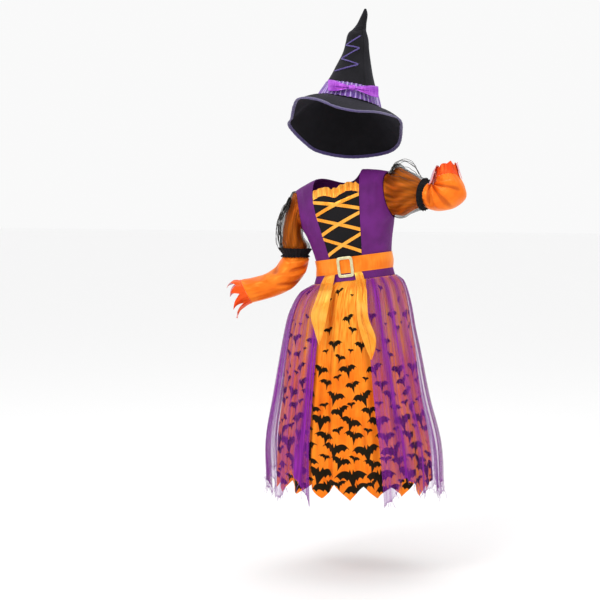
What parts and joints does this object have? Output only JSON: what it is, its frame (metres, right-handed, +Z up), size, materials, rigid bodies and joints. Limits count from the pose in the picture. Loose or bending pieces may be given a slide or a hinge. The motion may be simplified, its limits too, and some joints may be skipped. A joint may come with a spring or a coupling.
{
  "type": "witch costume",
  "caption": "Child's costume dress with laced bodice, puffed sheer sleeves, buckled belt and gathered skirt under net, with its pointed hat.",
  "frame": {"origin": "midway between the dress's two shoulders, where the wearer's shoulders hold it", "axes": "+Z up; the dress's front faces -Y; +X to the wearer's left"},
  "size_m": [0.6022, 0.3825, 1.2202],
  "materials": {
    "purple_cloth": "soft satin",
    "black_cloth": "matte",
    "orange_satin": "satin",
    "gold_ribbon": "satin",
    "black_sheer": "sheer",
    "red_orange_satin": "satin",
    "purple_net": "open net",
    "black_felt": "felt",
    "violet_cloth": "satin",
    "bow_satin": "bright satin",
    "buckle_metal": "pale gold plate"
  },
  "bodies": {
    "root": {"bodice_front_panel": "black_cloth", "neckline_ruffle": "gold_ribbon", "bodice_front_right": "purple_cloth", "bodice_back_right": "purple_cloth", "bodice_front_left": "purple_cloth", "bodice_back_left": "purple_cloth", "lacing_1_under": "gold_ribbon", "lacing_1_over": "gold_ribbon", "lacing_2_under": "gold_ribbon", "lacing_2_over": "gold_ribbon", "lacing_3_under": "gold_ribbon", "lacing_3_over": "gold_ribbon", "waistband": "purple_cloth", "belt": "orange_satin", "buckle": "buckle_metal", "underskirt_front": "orange_satin", "underskirt_back": "orange_satin", "net_right": "purple_net", "net_left": "purple_net", "tail_right": "gold_ribbon", "tail_left": "gold_ribbon", "sheer_sleeve_right": "black_sheer", "satin_sleeve_right": "orange_satin", "elbow_band_right": "black_cloth", "cuff_right": "red_orange_satin", "sheer_sleeve_left": "black_sheer", "satin_sleeve_left": "orange_satin", "elbow_band_left": "black_cloth", "cuff_left": "red_orange_satin", "gauze_right": "black_cloth", "gauze_left": "black_cloth", "hat_crown": "black_felt", "hat_brim": "black_felt", "hat_piping": "violet_cloth", "hat_band": "violet_cloth", "bow_right": "bow_satin", "bow_left": "bow_satin", "bow_knot": "bow_satin", "hat_cord": "violet_cloth"}
  },
  "joints": []
}
